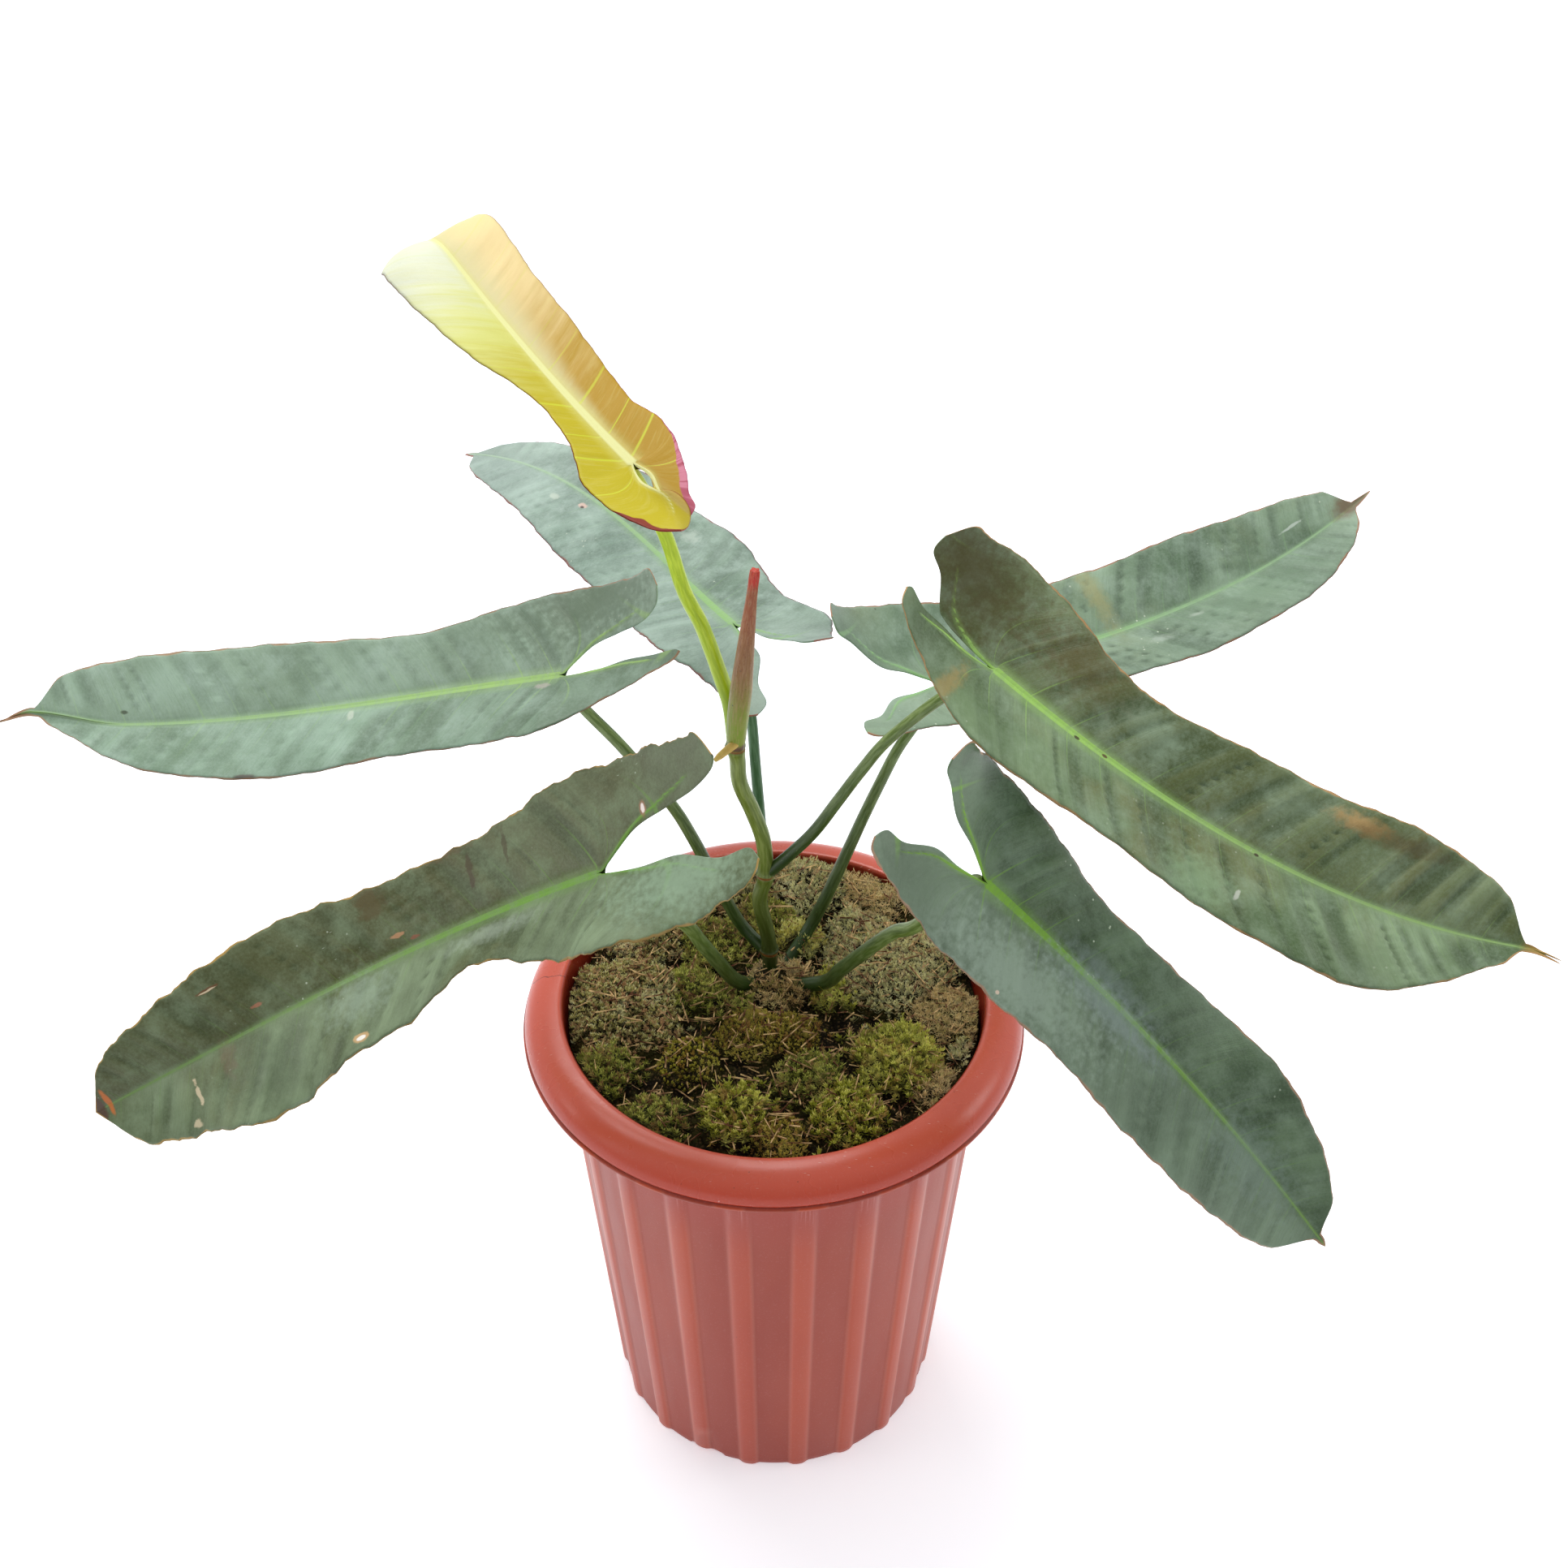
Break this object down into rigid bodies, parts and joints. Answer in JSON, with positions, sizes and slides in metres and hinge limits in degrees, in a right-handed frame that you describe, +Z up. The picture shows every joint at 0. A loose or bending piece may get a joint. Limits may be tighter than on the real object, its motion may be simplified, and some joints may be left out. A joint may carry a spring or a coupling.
{
  "type": "potted philodendron",
  "caption": "Potted philodendron atabapoense: long arrow-shaped leaves on slim stalks rise from a ringed stem in a moss-topped, fluted terracotta-red pot",
  "frame": {"origin": "middle of the pot's foot, on the flat underside that rests on a shelf", "axes": "+Z up; +X to the viewer's right in front view, along the plant's widest spread; -Y towards the viewer"},
  "size_m": [0.7396, 0.4788, 0.6612],
  "materials": {
    "pot_plastic": "satin",
    "mix": "matte",
    "moss": "matte",
    "stem_green": "satin",
    "spear_skin": "satin",
    "young_leaf": "satin",
    "grown_leaf": "satin"
  },
  "bodies": {
    "root": {"pot": "pot_plastic", "potting_mix": "mix", "moss_carpet": "moss", "stem": "stem_green", "new_leaf_spear": "spear_skin", "leaf_young": "young_leaf", "leaf_back_left": "grown_leaf", "leaf_left": "grown_leaf", "leaf_front_left": "grown_leaf", "leaf_front_right": "grown_leaf", "leaf_right": "grown_leaf", "leaf_back_right": "grown_leaf"}
  },
  "joints": []
}
